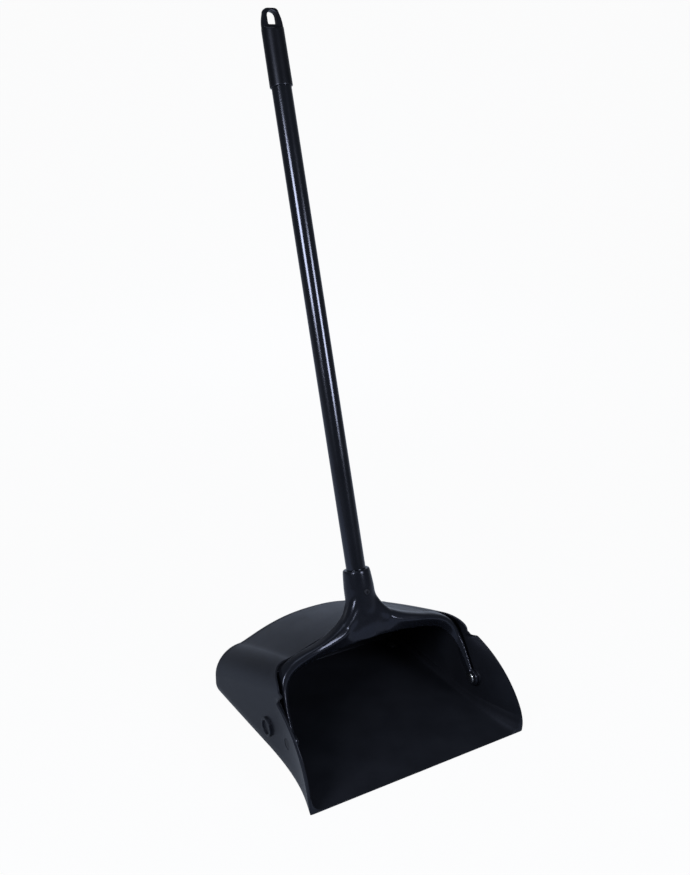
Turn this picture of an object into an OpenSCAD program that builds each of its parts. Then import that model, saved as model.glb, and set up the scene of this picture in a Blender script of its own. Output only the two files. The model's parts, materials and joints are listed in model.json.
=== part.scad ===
// Lobby dustpan: a moulded pan with a sloping hood that swings on a bow-shaped yoke under a
// long tubular handle. X runs along the lip, Y from the lip to the back wall, Z up.
// The origin is the middle of the lip's front edge, at floor height.

/* [Pan] */
// Width across the side walls at the floor
base_w = 290; // [270:1:320]
// Reach of each corner of the lip outside the side walls
lip_flare = 17; // [10:1:24]
// Depth from the lip to the outside of the back wall
pan_d = 294; // [274:1:324]
// Swell of each side wall over its foot at the mouth
mouth_swell = 2; // [0:0.5:5]
// Swell of each side wall over its foot at the back wall
belly_swell = 8.5; // [5:0.5:13]
// Thickness of the moulded walls
wall = 2.6; // [2.2:0.1:3.2]
// Thickness of the lip at its front edge
lip_t = 1.2; // [0.8:0.1:2]
// Depth of the flat land under the lip
lip_land = 18; // [10:1:30]
// Run over which the floor rises and thickens behind the lip
lip_run = 32; // [20:1:50]
// Outer radius between floor and walls
corner_r = 4; // [2:0.5:6]
// The same radius at the lip's corners
lip_corner_r = 1; // [0.5:0.1:2]
// Inner radius between floor and walls at the lip
lip_fillet_r = 18; // [8:1:24]
// Inner radius between floor and walls at the back
back_fillet_r = 6; // [3:1:12]
// Radius round the edge of the back wall
back_r = 4.5; // [3.2:0.1:8]
// Height over which the foot of a side wall rolls outwards
roll_h = 20; // [12:1:28]

/* [Hood] */
// Height of the shoulder arcs' centres at the back wall
belly_h = 29; // [22:1:36]
// Height of the shoulder arcs
shoulder_h = 40.5; // [34:0.5:46]
// Distance of the shoulder arcs' centres inside the side walls
shoulder_in = 32; // [27:1:40]
// Height of the crown over the shoulders at the back wall
crown_h = 25; // [15:1:30]
// Loss of that height from the back wall to the hood's front edge
crown_drop = 3.5; // [0:0.5:6]
// Droop of the hood towards its front edge
hood_droop = 5.5; // [0:0.1:7]
// Slope of the hood from the back wall up to the mouth, in degrees
hood_pitch = 21.8; // [20:0.1:23]
// Distance from the lip to the hood's front edge
hood_edge_y = 141; // [136:1:146]
// Distance from the lip to the foot of the hood's front edge
brow_y = 99.7; // [97:0.1:104]
// Distance from the lip to the hood's edge where the shoulder starts
shoulder_y = 107; // [105:1:112]
// Width of the scallop in the hood's edge behind the neck of the yoke
scallop_w = 150; // [110:1:180]

/* [Ears] */
// Distance from the lip to the tops of the ears
ear_top_y = 95; // [88:1:96]
// Outward flare of the ears at their tops
ear_flare = 10; // [4:1:14]
// Distance from the lip at which the flare of the foot has died away
flare_end_y = 130; // [118:1:144]
// Distance from the lip at which the flare of the ears' tops has died away
ear_flare_end_y = 116; // [104:1:118]

/* [Side bosses] */
// Distance of the round side bosses from the lip
boss_y = 138; // [134:1:164]
// Height of the side bosses
boss_z = 37; // [30:1:45]
// Outer radius of a side boss
boss_r = 13.2; // [11:0.1:15]
// Radius of the recess in a side boss
boss_recess_r = 9; // [5:0.5:10]
// Height of the bosses outside the widest part of the wall there
boss_proud = 3.2; // [2:0.1:6]
// Depth of the recess in a side boss
boss_recess = 2.4; // [1:0.1:4]

/* [Wear feet] */
// Height of the wear feet under the floor
foot_proud = 1.5; // [1:0.1:3]
// Width of a wear foot
foot_w = 26; // [18:1:36]
// Length of a wear foot from front to back
foot_l = 21; // [14:1:26]
// Distance of the feet's centres from the back wall
foot_back = 25; // [18:1:40]
// Radius of the stem that holds a foot in the floor
foot_stem_r = 4; // [3:0.5:6]
// Distance of that stem from the middle of the foot, towards the middle of the pan
foot_stem_in = 4; // [2:0.5:5]
// Radius of the button that spreads over the floor
foot_button_r = 7; // [6.5:0.5:9]
// Height of that button
foot_button_h = 1.4; // [1:0.1:3]

/* [Pivot] */
// Distance of the pivot axis from the lip
pivot_y = 84; // [80:1:90]
// Height of the pivot axis
pivot_z = 44; // [40:1:50]
// Radius of the rivet's shank
rivet_r = 4; // [3:0.1:5]
// Radius of the rivet's heads
rivet_head_r = 7.5; // [6:0.1:9]
// Height of the domed head inside the yoke's arm
rivet_head_h = 2.4; // [1.6:0.1:4]
// Height of the flat head outside the ear
rivet_flat_h = 0.9; // [0.6:0.1:1.6]
// Depth of the flat head's seat in the ear
rivet_sink = 1.4; // [1:0.1:1.8]
// Radius of the flat pad moulded inside each ear round the rivet
pad_r = 11; // [9:0.5:14]
// Height of the pad inside the wall
pad_proud = 0.7; // [0.6:0.1:1.5]
// Radius of the washers
washer_r = 9; // [8:0.5:10.5]
// Thickness of the washers
washer_t = 1; // [0.6:0.1:1.6]
// Radius of the eye at the end of a yoke arm
eye_r = 11.5; // [10:0.5:13]
// Thickness of that eye
eye_t = 5; // [4:0.1:7]

/* [Yoke] */
// Height of the bow over the pivot, at its shoulders
bow_h = 109; // [100:1:118]
// Reach of the bow behind the pivot
bow_d = 75; // [70:1:80]
// Wall thickness of the bow
bow_t = 3.2; // [2.6:0.1:4]
// Rounding along the ridge of the bow
ridge_r = 9; // [5:0.5:11]
// Bulge of the web beside the neck
web_bulge = 13; // [0:0.5:16]
// Length of the neck that takes the tube
neck_l = 78; // [74:1:90]
// Outer radius of the neck at its rim
neck_rim_r = 18; // [16:0.1:20]
// Outer radius of the neck at its waist
neck_waist_r = 20.4; // [18:0.1:22]
// Outer radius at the closed lower end of the neck
neck_end_r = 14.6; // [14:0.1:16]
// Depth of the tube in the neck
socket_l = 70; // [50:1:72]

/* [Handle] */
// Backward lean of the handle at rest, in degrees
lean = 16.9; // [15:0.1:19]
// Distance of the neck's rim from the lip
rim_y = 163; // [160:1:167]
// Height of the neck's rim
rim_z = 213; // [205:1:225]
// Outer diameter of the tube
tube_d = 26; // [22:0.1:27]
// Wall of the tube
tube_t = 0.9; // [0.7:0.1:2]
// Bare length of tube between the neck and the end cap
tube_bare_l = 633; // [500:1:800]
// Length of the plug inside the lower end of the tube
plug_l = 52; // [45:1:65]
// Distance of the handle screw below the neck's rim
screw_down = 29; // [20:1:40]
// Distance of the screw's flat seat from the axis of the neck
screw_seat_r = 19.2; // [17:0.1:20]
// Radius of the screw's shank
screw_r = 2.1; // [1.5:0.1:3]
// Radius of the screw's head
screw_head_r = 4.2; // [3.6:0.1:5.5]
// Height of the screw's head
screw_head_h = 2.4; // [1.5:0.1:3]
// Length of the screw's shank
screw_l = 14; // [10:0.5:18]

/* [End cap] */
// Overall length of the end cap
cap_l = 100; // [96:1:130]
// Outer radius at the cap's lower rim
cap_rim_r = 15; // [14.4:0.1:17]
// Outer radius of the cap under its tapered top
cap_top_r = 14.6; // [14.2:0.1:16]
// Length of the tapered top
cap_taper_l = 24; // [18:1:28]
// Outer radius where the taper meets the dome
cap_tip_r = 11.3; // [10:0.1:13]
// Radius of the dome's edge
dome_r = 6; // [3:0.5:8]
// Depth of the tube in the cap
cap_socket_l = 66; // [50:1:70]
// Thickness of the flat tab that the hang hole goes through
tab_t = 8.5; // [6:0.5:12]
// Height of the tab
tab_h = 24; // [20:1:28]
// Height of the slope under the tab's flat sides
tab_slope_h = 5; // [2:0.5:8]
// Width of the hang hole
hang_w = 13.5; // [10:0.5:15]
// Height of the hang hole
hang_h = 17.2; // [14:0.1:19]
// Material over the hang hole
hang_bar = 3.6; // [3:0.1:6]

/* [Clearances] */
// Radial running clearance of the yoke on its rivets
run_gap = 0.06; // [0.02:0.01:0.1]
// Gap between faces of pieces that move past each other
side_gap = 0.35; // [0.3:0.05:0.6]
// Gap round pieces that are fitted together and stay put
fit_gap = 0.08; // [0.02:0.01:0.15]
// Gap between the neck of the yoke and the hood it leans on
stop_gap = 0.8; // [0.5:0.1:3]

/* [Hidden] */
$fn = 64;

// Overrun of every cut past the face it goes through
overrun = 1;

// Bend of an ear's edge, sharpness of the flare and of its end over the height, droop of the
// hood and form of the crown, as plain exponents
ear_bow = 1.6;
flare_bow = 2.4;
flare_end_bow = 3;
droop_bow = 2;
crown_bow = 2.3;
crown_foot = 1.2;

// Share of a side wall's height at an ear's top and at the foot of the hood's edge
ear_share = 0.893;
brow_share = 0.954;

// Share of the flare at the pivot that the pad's root reaches into
pad_share = 0.25;

// Share of the shoulder arc over which the hood's edge runs back
edge_turn_share = 0.78;

// Places round half a section: floor from the middle, corner, wall, shoulder and crown
floor_shares = [0, 0.35, 0.7, 0.9, 1];
corner_shares = [0.33, 0.66, 1];
ear_shares = [0.07, 0.16, 0.27, 0.39, 0.52, 0.66, 0.8, 0.91, 1];
shoulder_shares = [0, 0.14, 0.28, 0.42, 0.56, 0.7, 0.85, 1];
crown_shares = [0.12, 0.24, 0.36, 0.48, 0.61, 0.74, 0.87, 1];

// Places from the mouth to the back wall
depth_shares = [0, 0.03, 0.07, 0.13, 0.21, 0.31, 0.45, 0.62, 0.8, 1];

// The bow of the yoke from a pivot to its middle, as shares of half its width, its reach
// behind the pivot and its height: the ridge, the back edge, and the edge over the mouth
ridge_shares = [
    [0.997, -0.1, -0.02], [0.997, 0.04, 0.165], [0.99, 0.2, 0.38], [0.966, 0.32, 0.56],
    [0.915, 0.375, 0.685], [0.827, 0.385, 0.78], [0.704, 0.375, 0.855], [0.563, 0.375, 0.915],
    [0.423, 0.4, 0.965], [0.303, 0.465, 1.02], [0.211, 0.585, 1.09], [0.158, 0.735, 1.185],
    [0.112, 0.87, 1.33], [0, 0.625, 1.25]];
back_shares = [
    [0.997, 0.11, -0.03], [0.998, 0.345, 0.13], [0.993, 0.505, 0.345], [0.977, 0.625, 0.515],
    [0.937, 0.68, 0.635], [0.852, 0.705, 0.735], [0.725, 0.695, 0.815], [0.577, 0.685, 0.87],
    [0.43, 0.735, 0.925], [0.31, 0.8, 0.985], [0.214, 0.885, 1.05], [0.162, 0.96, 1.14],
    [0.112, 1, 1.3], [0, 1.08, 1.28]];
mouth_shares = [
    [0.955, -0.095, -0.02], [0.947, 0.105, 0.155], [0.923, 0.32, 0.36], [0.88, 0.48, 0.485],
    [0.824, 0.555, 0.57], [0.739, 0.59, 0.625], [0.641, 0.6, 0.66], [0.521, 0.59, 0.693],
    [0.38, 0.58, 0.725], [0.254, 0.56, 0.75], [0.176, 0.545, 0.765], [0.113, 0.53, 0.778],
    [0.056, 0.51, 0.785], [0, 0.5, 0.788]];
// Shares of the web's bulge at the same places
bulge_shares = [0, 0, 0, 0, 0, 0, 0, 0, 0, 0, 0.05, 0.35, 1.15, 0.3];
// Steps between two of those places, round the ridge outside and inside, and down the web
bow_steps = 3;
ridge_steps = 6;
inner_steps = 3;
web_steps = 3;
// Largest share of a flange that the rounding takes, and share of it left inside
ridge_reach_share = 0.6;
inner_ridge_share = 0.33;

// Ends of the neck's waist as shares of its length from the rim
waist_shares = [0.33, 0.72];
// Share of the neck's taper at the height of the hood's crown
stop_share = 0.375;

base_half = base_w / 2;
mouth_half = base_half + mouth_swell;
belly_half = base_half + belly_swell;
shoulder_half = base_half - shoulder_in;
scallop_half = scallop_w / 2;
back_in_r = back_r - wall;
tube_r = tube_d / 2;

pitch_slope = tan(hood_pitch);
lean_slope = tan(lean);
crown_fall = crown_drop / (pan_d - hood_edge_y);

// Faces along the pivot axis, from the outside of the ear inwards
pivot_foot_z = under_z(pivot_y) + corner_r;
pivot_share = (pivot_z - pivot_foot_z) / (spring_z(pivot_y) - pivot_foot_z);
ear_x = side_pt(pivot_share, pivot_y, 0, 0, corner_r)[0];
pad_out_x = mouth_half + (ear_x - mouth_half) * pad_share;
seat_x = ear_x - rivet_sink;
pad_in_x = mouth_half - wall - pad_proud;
eye_out_x = pad_in_x - washer_t - side_gap;
eye_in_x = eye_out_x - eye_t;
burr_out_x = eye_in_x - side_gap;
burr_in_x = burr_out_x - washer_t;
head_in_x = burr_in_x - rivet_head_h;

// The neck's back, where it meets the height of the hood's crown
stop_r = neck_end_r + (neck_waist_r - neck_end_r) * stop_share;
function neck_line_y(y) = rim_y - (rim_z - crown_pt(1, y, 0)[1]) * lean_slope
    + stop_r / cos(lean) + stop_gap;
neck_back_y = neck_line_y(neck_line_y(neck_line_y(hood_edge_y)));

function clamp01(t) = min(1, max(0, t));
function smooth(t) = let (c = clamp01(t)) c * c * (3 - 2 * c);

// Height of the shoulder arcs' centres at a place y
function spring_z(y) = belly_h + (pan_d - y) * pitch_slope;
// Height of the shoulder arcs at a place y
function arc_h(y) = shoulder_h
    - hood_droop * pow(clamp01((pan_d - y) / (pan_d - hood_edge_y)), droop_bow);
// Half the width over the shoulder arcs at a place y
function side_half(y) = mouth_half
    + (belly_half - mouth_half) * clamp01((y - brow_y) / (pan_d - brow_y));
// Height of the floor's underside and thickness of the floor at a place y
function under_z(y) = foot_proud * smooth((y - lip_land) / lip_run);
function floor_t(y) = lip_t + (wall - lip_t) * smooth(y / lip_run);
// Outer and inner radius between floor and wall at a place y
function corner_at(y) = lip_corner_r + (corner_r - lip_corner_r) * smooth(y / lip_run);
function fillet_r(y) = back_fillet_r
    + (lip_fillet_r - back_fillet_r) * pow(1 - clamp01(y / flare_end_y), 2);

// Front edge of the pan in each zone of the section, at a share q of that zone
function ear_edge_y(q) = q <= ear_share
    ? ear_top_y * pow(q / ear_share, ear_bow)
    : brow_y + (shoulder_y - brow_y) * (q - brow_share) / (1 - brow_share);
function shoulder_edge_y(q) = shoulder_y
    + (hood_edge_y - shoulder_y) * smooth(q / edge_turn_share);
function crown_edge_y(q) = hood_edge_y + (neck_back_y - hood_edge_y)
    * (1 + cos(180 * clamp01(shoulder_half * (1 - q) / scallop_half))) / 2;
function edge_y(zone, q) =
    zone == "side" ? ear_edge_y(q) :
    zone == "shoulder" ? shoulder_edge_y(q) :
    zone == "crown" ? crown_edge_y(q) : 0;

// Outward flare of lip and ears at a place y
function flare(zone, q, y) =
    let (ye = edge_y(zone, q),
         rise = zone == "side" ? q / ear_share : 0,
         rim = lip_flare + (ear_flare - lip_flare) * rise,
         end = ear_flare_end_y
             + (flare_end_y - ear_flare_end_y) * pow(1 - clamp01(rise), flare_end_bow))
    zone == "shoulder" || zone == "crown" || rise > 1 ? 0 :
    rim * pow(1 - clamp01((y - ye) / (end - ye)), flare_bow);

// A point of the section at y, a distance inset inside the outer form, with its floor lifted
// and its corner rounded with radius r
function floor_pt(q, y, inset, lift, r) =
    [q * (base_half - inset - r + flare("floor", q, y)), under_z(y) + lift];
function corner_pt(q, y, inset, lift, r) =
    [base_half - inset - r + flare("corner", q, y) + r * sin(90 * q),
     under_z(y) + lift + r * (1 - cos(90 * q))];
function side_pt(q, y, inset, lift, r) =
    let (z0 = under_z(y) + lift + r,
         z = z0 + q * (spring_z(y) - z0),
         roll = 1 - pow(1 - clamp01(z / roll_h), 2))
    [base_half - inset + (side_half(y) - base_half) * roll + flare("side", q, y), z];
function shoulder_pt(q, y, inset) =
    [shoulder_half + (side_half(y) - shoulder_half - inset) * cos(90 * q),
     spring_z(y) + (arc_h(y) - inset) * sin(90 * q)];
function crown_pt(q, y, inset) =
    [shoulder_half * (1 - q), spring_z(y) + arc_h(y) - inset
     + (crown_h - crown_fall * (pan_d - y)) * pow(1 - pow(1 - q, crown_bow), crown_foot)];
function section_pt(zone, q, y, inset, lift, r) =
    zone == "floor" ? floor_pt(q, y, inset, lift, r) :
    zone == "corner" ? corner_pt(q, y, inset, lift, r) :
    zone == "side" ? side_pt(q, y, inset, lift, r) :
    zone == "shoulder" ? shoulder_pt(q, y, inset) : crown_pt(q, y, inset);

// The places round a whole section: side, zone and share, from the middle of the floor
half_keys = concat(
    [for (q = floor_shares) ["floor", q]],
    [for (q = corner_shares) ["corner", q]],
    [for (q = ear_shares) ["side", q * ear_share]],
    [["side", brow_share]],
    [for (q = shoulder_shares) ["shoulder", q]],
    [for (q = crown_shares) ["crown", q]]);
half_n = len(half_keys);
ring_keys = concat(
    [for (k = half_keys) [1, k[0], k[1]]],
    [for (i = [half_n - 2 : -1 : 1]) [-1, half_keys[i][0], half_keys[i][1]]]);
ring_n = len(ring_keys);

// One ring of the outer form, and one of the hollow, at a share s of the depth
function outer_ring(s) = [for (k = ring_keys)
    let (ye = edge_y(k[1], k[2]),
         y = ye + (pan_d - back_r - ye) * s,
         p = section_pt(k[1], k[2], y, 0, 0, corner_at(y)))
    [k[0] * p[0], y, p[1]]];
function inner_ring(s) = [for (k = ring_keys)
    let (ye = edge_y(k[1], k[2]),
         y = ye + (pan_d - back_r - ye) * s,
         p = section_pt(k[1], k[2], y, wall, floor_t(y), fillet_r(y)))
    [k[0] * p[0], y, p[1]]];
// Rings that round the edge of the back wall, outside and inside
function back_ring(a, r, inset, lift, fillet) = [for (k = ring_keys)
    let (y = pan_d - back_r,
         d = r * (1 - cos(a)),
         p = section_pt(k[1], k[2], y, inset + d, lift + d, fillet))
    [k[0] * p[0], y + r * sin(a), p[1]]];
back_angles = [30, 60, 90];

// Faces between ring a and ring b of n points, seen clockwise from outside
function band(a, b, n) = [for (i = [0 : n - 1])
    let (j = (i + 1) % n)
    each [[a + i, a + j, b + j], [a + i, b + j, b + i]]];
function fan(a, c, n) = [for (i = [0 : n - 1]) [a + i, a + (i + 1) % n, c]];
function flip(faces) = [for (f = faces) [f[2], f[1], f[0]]];

// The pan as one shell: outer form, hollow, and the rim between them
module pan_shell() {
    outer = concat([for (s = depth_shares) outer_ring(s)],
        [for (a = back_angles) back_ring(a, back_r, 0, 0, corner_r)]);
    inner = concat([for (s = depth_shares) inner_ring(s)],
        [for (a = back_angles) back_ring(a, back_in_r, wall, floor_t(pan_d), back_fillet_r)]);
    rings = len(outer);
    hollow = rings * ring_n;
    last = (rings - 1) * ring_n;
    middle_z = belly_h;
    points = concat([for (r = outer) each r], [for (r = inner) each r],
        [[0, pan_d, middle_z], [0, pan_d - wall, middle_z]]);
    faces = concat(
        [for (i = [0 : rings - 2]) each band(i * ring_n, (i + 1) * ring_n, ring_n)],
        flip([for (i = [0 : rings - 2])
            each band(hollow + i * ring_n, hollow + (i + 1) * ring_n, ring_n)]),
        band(hollow, 0, ring_n),
        fan(last, 2 * hollow, ring_n),
        flip(fan(hollow + last, 2 * hollow + 1, ring_n)));
    polyhedron(points, faces, convexity = 10);
}

// A cylinder along X between two places, on the right or, with side -1, on the left
module along_x(side, x0, x1, r) {
    translate([side > 0 ? x0 : -x1, 0, 0])
        rotate([0, 90, 0])
            cylinder(r = r, h = x1 - x0);
}

module at_pivot() { translate([0, pivot_y, pivot_z]) children(); }

// Faces of the side bosses along X
boss_in_x = side_half(boss_y) - wall;
boss_out_x = side_half(boss_y) + boss_proud;

// Places of a wear foot and of its stem
foot_x = base_half - foot_w;
stem_x = base_half - foot_w / 2 - foot_stem_in;
foot_y = pan_d - foot_back;
foot_floor_z = foot_proud + wall;

module pan_body() color([0.10, 0.10, 0.12]) {
    difference() {
        union() {
            pan_shell();
            for (side = [-1, 1]) {
                at_pivot() along_x(side, pad_in_x, pad_out_x, pad_r);
                translate([0, boss_y, boss_z]) along_x(side, boss_in_x, boss_out_x, boss_r);
            }
        }
        for (side = [-1, 1]) {
            at_pivot() {
                along_x(side, pad_in_x - overrun, ear_x, rivet_r + fit_gap);
                along_x(side, seat_x, mouth_half + ear_flare, rivet_head_r + fit_gap);
            }
            translate([0, boss_y, boss_z])
                along_x(side, boss_out_x - boss_recess, boss_out_x + overrun, boss_recess_r);
            translate([side * stem_x, foot_y, -overrun])
                cylinder(r = foot_stem_r + fit_gap, h = foot_floor_z + 2 * overrun);
        }
    }
}

// A wear foot: a pad under the floor, a stem through it and a button spread over it
module wear_foot(side) color([0.08, 0.08, 0.09])
    mirror([side > 0 ? 0 : 1, 0, 0]) {
        translate([foot_x, foot_y - foot_l / 2, 0]) cube([foot_w, foot_l, foot_proud]);
        translate([stem_x, foot_y, 0]) {
            cylinder(r = foot_stem_r, h = foot_floor_z + foot_button_h);
            translate([0, 0, foot_floor_z])
                cylinder(r1 = foot_button_r, r2 = foot_button_r - foot_button_h,
                         h = foot_button_h);
        }
    }
module wear_foot_left() wear_foot(-1);
module wear_foot_right() wear_foot(1);

// A domed head of the rivet, its flat face at the origin, rising along Z
module rivet_head() {
    dome = (pow(rivet_head_r, 2) + pow(rivet_head_h, 2)) / (2 * rivet_head_h);
    intersection() {
        translate([0, 0, rivet_head_h - dome]) sphere(r = dome);
        cylinder(r = rivet_head_r, h = rivet_head_h);
    }
}

// A pivot rivet, headed outside the ear and inside the yoke's arm
module pivot_rivet(side) color([0.75, 0.76, 0.78])
    at_pivot()
        mirror([side > 0 ? 0 : 1, 0, 0]) {
            along_x(1, burr_in_x, seat_x, rivet_r);
            along_x(1, seat_x, seat_x + rivet_flat_h, rivet_head_r);
            translate([burr_in_x, 0, 0]) rotate([0, -90, 0]) rivet_head();
        }
module pivot_rivet_left() pivot_rivet(-1);
module pivot_rivet_right() pivot_rivet(1);

// A washer on a rivet, between two places along the axis
module washer(side, x0, x1) at_pivot()
    difference() {
        along_x(side, x0, x1, washer_r);
        along_x(side, x0 - overrun, x1 + overrun, rivet_r + fit_gap);
    }
module spacer_washer(side) color([0.85, 0.85, 0.82])
    washer(side, pad_in_x - washer_t, pad_in_x);
module rivet_washer(side) color([0.72, 0.73, 0.75]) washer(side, burr_in_x, burr_out_x);
module spacer_washer_left() spacer_washer(-1);
module spacer_washer_right() spacer_washer(1);
module rivet_washer_left() rivet_washer(-1);
module rivet_washer_right() rivet_washer(1);

// A smooth curve through places p, as n steps from each to the next
function between(a, b, c, d, t) =
    b + (c - a) * t / 2 + (2 * a - 5 * b + 4 * c - d) * t * t / 2
    + (3 * b - a - 3 * c + d) * t * t * t / 2;
function curve(p, n) = let (m = len(p) - 1) concat(
    [for (i = [0 : m - 1], k = [0 : n - 1])
        between(p[max(0, i - 1)], p[i], p[i + 1], p[min(m, i + 2)], k / n)],
    [p[m]]);

// A half curve of the bow in real sizes, from the right pivot to the middle, then mirrored
function bow_place(s) = [s[0] * eye_out_x, pivot_y + s[1] * bow_d, pivot_z + s[2] * bow_h];
function mirrored_end(p) = concat(p, [[-p[len(p) - 2][0], p[len(p) - 2][1], p[len(p) - 2][2]]]);
function bow_curve(shares) =
    let (p = [for (s = shares) bow_place(s)],
         half = curve(mirrored_end(p), bow_steps),
         m = (len(p) - 1) * bow_steps)
    concat([for (i = [0 : m]) half[i]],
           [for (i = [m - 1 : -1 : 0]) [-half[i][0], half[i][1], half[i][2]]]);

// The web's bulge along the whole bow
function bulge_curve() =
    let (s = bulge_shares,
         half = curve(concat(s, [s[len(s) - 2]]), bow_steps),
         m = (len(s) - 1) * bow_steps)
    concat([for (i = [0 : m]) half[i] * web_bulge],
           [for (i = [m - 1 : -1 : 0]) half[i] * web_bulge]);

// An angled section of the bow: outside from back edge b over ridge r and down the web, with
// its bulge, to mouth edge m, then back along the inside at the wall's thickness
function unit(v) = v / norm(v);
function arc3(a, b, c, n) = [for (i = [0 : n])
    let (t = i / n) (1 - t) * (1 - t) * a + 2 * t * (1 - t) * b + t * t * c];
function bow_ring(r, b, m, bulge) =
    let (e1 = unit(b - r), e2 = unit(m - r),
         n1 = unit(e2 - (e2 * e1) * e1), n2 = unit(e1 - (e1 * e2) * e2),
         apex = r + (e1 + e2) * bow_t / (e2 * n1),
         reach = min(ridge_r, norm(m - r) * ridge_reach_share, norm(b - r) * ridge_reach_share),
         web_top = r + e2 * reach,
         b_in = b + n1 * bow_t, m_in = m + n2 * bow_t,
         in_reach = max(0, min(ridge_r * inner_ridge_share,
             (b_in - apex) * e1 / 2, (m_in - apex) * e2 / 2)))
    concat([b], arc3(r + e1 * reach, r, web_top, ridge_steps),
           [for (i = [1 : web_steps]) arc3(web_top, (web_top + m) / 2 - n2 * bulge, m, web_steps)[i]],
           [m_in],
           arc3(apex + e2 * in_reach, apex, apex + e1 * in_reach, inner_steps), [b_in]);

module bow() {
    ridge = bow_curve(ridge_shares);
    back = bow_curve(back_shares);
    mouth = bow_curve(mouth_shares);
    bulge = bulge_curve();
    rings = [for (i = [0 : len(ridge) - 1]) bow_ring(ridge[i], back[i], mouth[i], bulge[i])];
    n = len(rings[0]);
    last = (len(rings) - 1) * n;
    points = [for (r = rings) each r];
    faces = concat(
        [for (i = [0 : len(rings) - 2]) each band(i * n, (i + 1) * n, n)],
        [[for (i = [n - 1 : -1 : 0]) i]],
        [[for (i = [0 : n - 1]) last + i]]);
    polyhedron(points, faces, convexity = 10);
}

// The handle's own frame: Z along the tube, origin in the middle of the neck's rim
module on_handle() {
    translate([0, rim_y, rim_z]) rotate([-lean, 0, 0]) children();
}

// The neck: a waisted thimble round the lower end of the tube
module neck() rotate_extrude()
    polygon([[0, -neck_l], [neck_end_r, -neck_l], [neck_waist_r, -neck_l * waist_shares[1]],
             [neck_waist_r, -neck_l * waist_shares[0]], [neck_rim_r, 0], [0, 0]]);

module yoke() color([0.11, 0.11, 0.13]) {
    difference() {
        union() {
            bow();
            on_handle() neck();
            at_pivot() for (side = [-1, 1]) along_x(side, eye_in_x, eye_out_x, eye_r);
        }
        on_handle() {
            translate([0, 0, -socket_l])
                cylinder(r = tube_r + fit_gap, h = socket_l + overrun);
            translate([0, 0, -screw_down]) rotate([90, 0, 0]) {
                cylinder(r = screw_r + fit_gap, h = neck_waist_r + overrun);
                translate([0, 0, screw_seat_r])
                    cylinder(r = screw_head_r + fit_gap, h = neck_waist_r);
            }
        }
        at_pivot() for (side = [-1, 1]) {
            along_x(side, eye_in_x - overrun, eye_out_x + overrun, rivet_r + run_gap);
            along_x(side, head_in_x - overrun, eye_in_x, washer_r + side_gap);
        }
    }
}

// The tube runs from the bottom of the neck to the bottom of the end cap's bore
module handle_tube() color([0.06, 0.06, 0.07])
    on_handle()
        difference() {
            translate([0, 0, -socket_l])
                cylinder(r = tube_r, h = socket_l + tube_bare_l + cap_socket_l);
            translate([0, 0, -socket_l - overrun])
                cylinder(r = tube_r - tube_t,
                         h = socket_l + tube_bare_l + cap_socket_l + 2 * overrun);
            translate([0, 0, -screw_down]) rotate([90, 0, 0])
                cylinder(r = screw_r + fit_gap, h = tube_r + overrun);
        }

// A plug that stops the screw from crushing the tube
module tube_plug() color([0.2, 0.2, 0.21])
    on_handle()
        difference() {
            translate([0, 0, -socket_l]) cylinder(r = tube_r - tube_t - fit_gap, h = plug_l);
            translate([0, 0, -screw_down]) rotate([90, 0, 0])
                cylinder(r = screw_r + fit_gap, h = tube_r);
        }

module handle_screw() color([0.15, 0.15, 0.16])
    on_handle()
        translate([0, -screw_seat_r, -screw_down]) rotate([90, 0, 0]) {
            cylinder(r = screw_head_r, h = screw_head_h);
            translate([0, 0, -screw_l]) cylinder(r = screw_r, h = screw_l);
        }

// The end cap: a tapered sleeve whose domed top is flattened to a tab with a hang hole
module cap_form() rotate_extrude()
    union() {
        polygon([[0, 0], [cap_rim_r, 0], [cap_top_r, cap_l - cap_taper_l],
                 [cap_tip_r, cap_l - dome_r], [0, cap_l - dome_r]]);
        square([cap_tip_r - dome_r, cap_l]);
        translate([cap_tip_r - dome_r, cap_l - dome_r])
            intersection() {
                circle(r = dome_r);
                square(dome_r);
            }
    }
// What is cut away in front of the tab and behind it
module tab_flats() {
    foot = cap_l - tab_h;
    top = cap_l + overrun;
    out = cap_rim_r + overrun;
    rotate([90, 0, 90])
        linear_extrude(2 * out, center = true)
            for (side = [0, 1]) mirror([side, 0])
                polygon([[tab_t / 2, top], [tab_t / 2, foot], [out, foot - tab_slope_h], [out, top]]);
}
module hang_hole() {
    top = cap_l - hang_bar;
    translate([0, cap_rim_r + overrun, 0]) rotate([90, 0, 0])
        linear_extrude(2 * (cap_rim_r + overrun)) {
            translate([-hang_w / 2, top - hang_h]) square([hang_w, hang_h - hang_w / 2]);
            translate([0, top - hang_w / 2]) circle(d = hang_w);
        }
}
module end_cap() color([0.12, 0.12, 0.13])
    on_handle() translate([0, 0, tube_bare_l])
        difference() {
            cap_form();
            translate([0, 0, -overrun])
                cylinder(r = tube_r + fit_gap, h = cap_socket_l + overrun);
            tab_flats();
            hang_hole();
        }

pan_body();
wear_foot_left();
wear_foot_right();
pivot_rivet_left();
pivot_rivet_right();
spacer_washer_left();
spacer_washer_right();
rivet_washer_left();
rivet_washer_right();
yoke();
handle_tube();
tube_plug();
handle_screw();
end_cap();
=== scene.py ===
import json
from math import cos, pi, radians, sin, tan

import bpy
from mathutils import Matrix, Vector


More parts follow.
